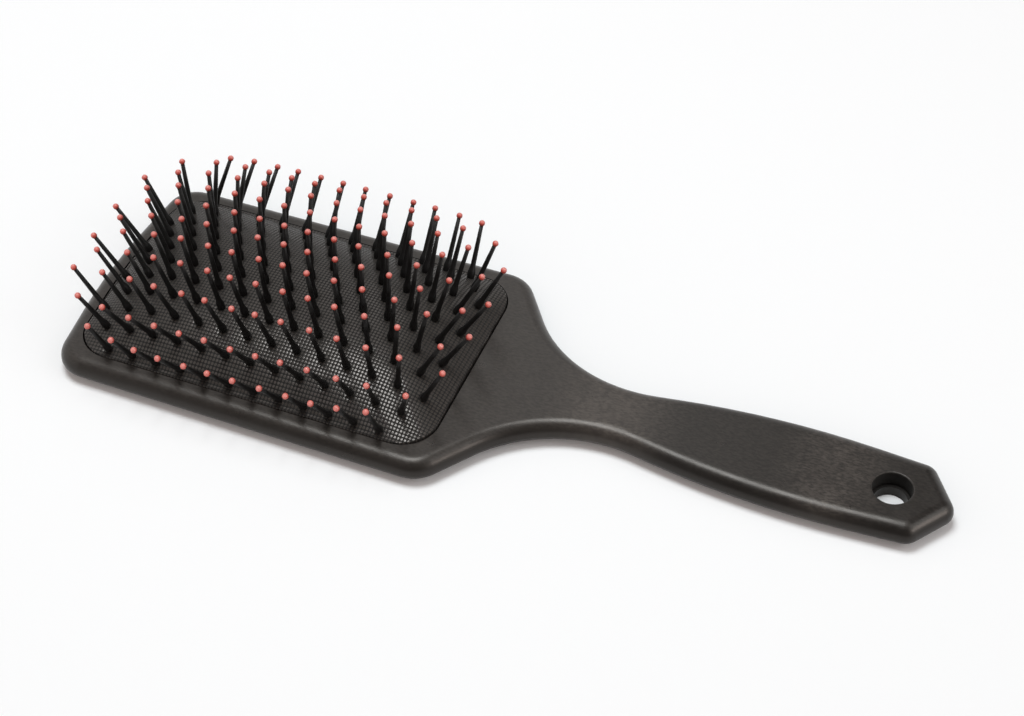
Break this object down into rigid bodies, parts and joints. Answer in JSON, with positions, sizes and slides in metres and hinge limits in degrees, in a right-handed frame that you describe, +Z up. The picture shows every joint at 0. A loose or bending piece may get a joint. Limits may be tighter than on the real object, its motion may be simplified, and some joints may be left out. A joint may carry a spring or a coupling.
{
  "type": "cushion paddle hair brush",
  "caption": "Paddle hair brush: a moulded handle with a hanging hole, a domed rubber cushion and staggered rows of ball-tipped pins that press in and sway.",
  "frame": {"origin": "on the resting plane of the back, under the middle of the cushion", "axes": "+X along the brush towards the grip, +Z up, the side that the pins stand on"},
  "size_m": [0.2476, 0.0838, 0.0356],
  "materials": {
    "body_plastic": "satin black moulded plastic with a soft sheen, fine streaked grain along the grip",
    "cushion_rubber": "matt black rubber with a fine raised grain",
    "pin_nylon": "black nylon, semi-matt",
    "ball_tip": "salmon red moulded ball, semi-gloss"
  },
  "bodies": {
    "handle": {"handle_body": "body_plastic"},
    "cushion": {"cushion": "cushion_rubber"},
    "row_01": {"pins_row_01": "pin_nylon", "tips_row_01": "ball_tip"},
    "row_02": {"pins_row_02": "pin_nylon", "tips_row_02": "ball_tip"},
    "row_03": {"pins_row_03": "pin_nylon", "tips_row_03": "ball_tip"},
    "row_04": {"pins_row_04": "pin_nylon", "tips_row_04": "ball_tip"},
    "row_05": {"pins_row_05": "pin_nylon", "tips_row_05": "ball_tip"},
    "row_06": {"pins_row_06": "pin_nylon", "tips_row_06": "ball_tip"},
    "row_07": {"pins_row_07": "pin_nylon", "tips_row_07": "ball_tip"},
    "row_08": {"pins_row_08": "pin_nylon", "tips_row_08": "ball_tip"},
    "row_09": {"pins_row_09": "pin_nylon", "tips_row_09": "ball_tip"},
    "row_10": {"pins_row_10": "pin_nylon", "tips_row_10": "ball_tip"},
    "row_11": {"pins_row_11": "pin_nylon", "tips_row_11": "ball_tip"}
  },
  "joints": [
    {"name": "cushion_press", "type": "slide", "parent": "handle", "child": "cushion", "axis": [0, 0, -1], "range_m": [0, 0.004], "stiffness_N_per_m": 1500, "deforming": ["cushion"]},
    {"name": "row_01_sway", "type": "hinge", "parent": "handle", "child": "row_01", "pos_m": [-0.0016, -0.0314, 0.00929], "axis": [1, 0, 0], "range_deg": [-10, 10], "stiffness_Nm_per_rad": 0.25, "deforming": ["cushion"]},
    {"name": "row_02_sway", "type": "hinge", "parent": "cushion", "child": "row_02", "pos_m": [-0.0016, -0.02512, 0.01314], "axis": [1, 0, 0], "range_deg": [-10, 10], "stiffness_Nm_per_rad": 0.25, "deforming": ["cushion"]},
    {"name": "row_03_sway", "type": "hinge", "parent": "cushion", "child": "row_03", "pos_m": [-0.0016, -0.01884, 0.01579], "axis": [1, 0, 0], "range_deg": [-10, 10], "stiffness_Nm_per_rad": 0.25, "deforming": ["cushion"]},
    {"name": "row_04_sway", "type": "hinge", "parent": "cushion", "child": "row_04", "pos_m": [-0.0016, -0.01256, 0.01739], "axis": [1, 0, 0], "range_deg": [-10, 10], "stiffness_Nm_per_rad": 0.25, "deforming": ["cushion"]},
    {"name": "row_05_sway", "type": "hinge", "parent": "cushion", "child": "row_05", "pos_m": [-0.0016, -0.00628, 0.01814], "axis": [1, 0, 0], "range_deg": [-10, 10], "stiffness_Nm_per_rad": 0.25, "deforming": ["cushion"]},
    {"name": "row_06_sway", "type": "hinge", "parent": "cushion", "child": "row_06", "pos_m": [-0.0016, 0, 0.0183], "axis": [1, 0, 0], "range_deg": [-10, 10], "stiffness_Nm_per_rad": 0.25, "deforming": ["cushion"]},
    {"name": "row_07_sway", "type": "hinge", "parent": "cushion", "child": "row_07", "pos_m": [-0.0016, 0.00628, 0.01814], "axis": [1, 0, 0], "range_deg": [-10, 10], "stiffness_Nm_per_rad": 0.25, "deforming": ["cushion"]},
    {"name": "row_08_sway", "type": "hinge", "parent": "cushion", "child": "row_08", "pos_m": [-0.0016, 0.01256, 0.01739], "axis": [1, 0, 0], "range_deg": [-10, 10], "stiffness_Nm_per_rad": 0.25, "deforming": ["cushion"]},
    {"name": "row_09_sway", "type": "hinge", "parent": "cushion", "child": "row_09", "pos_m": [-0.0016, 0.01884, 0.01579], "axis": [1, 0, 0], "range_deg": [-10, 10], "stiffness_Nm_per_rad": 0.25, "deforming": ["cushion"]},
    {"name": "row_10_sway", "type": "hinge", "parent": "cushion", "child": "row_10", "pos_m": [-0.0016, 0.02512, 0.01314], "axis": [1, 0, 0], "range_deg": [-10, 10], "stiffness_Nm_per_rad": 0.25, "deforming": ["cushion"]},
    {"name": "row_11_sway", "type": "hinge", "parent": "handle", "child": "row_11", "pos_m": [-0.0016, 0.0314, 0.00929], "axis": [1, 0, 0], "range_deg": [-10, 10], "stiffness_Nm_per_rad": 0.25, "deforming": ["cushion"]}
  ]
}
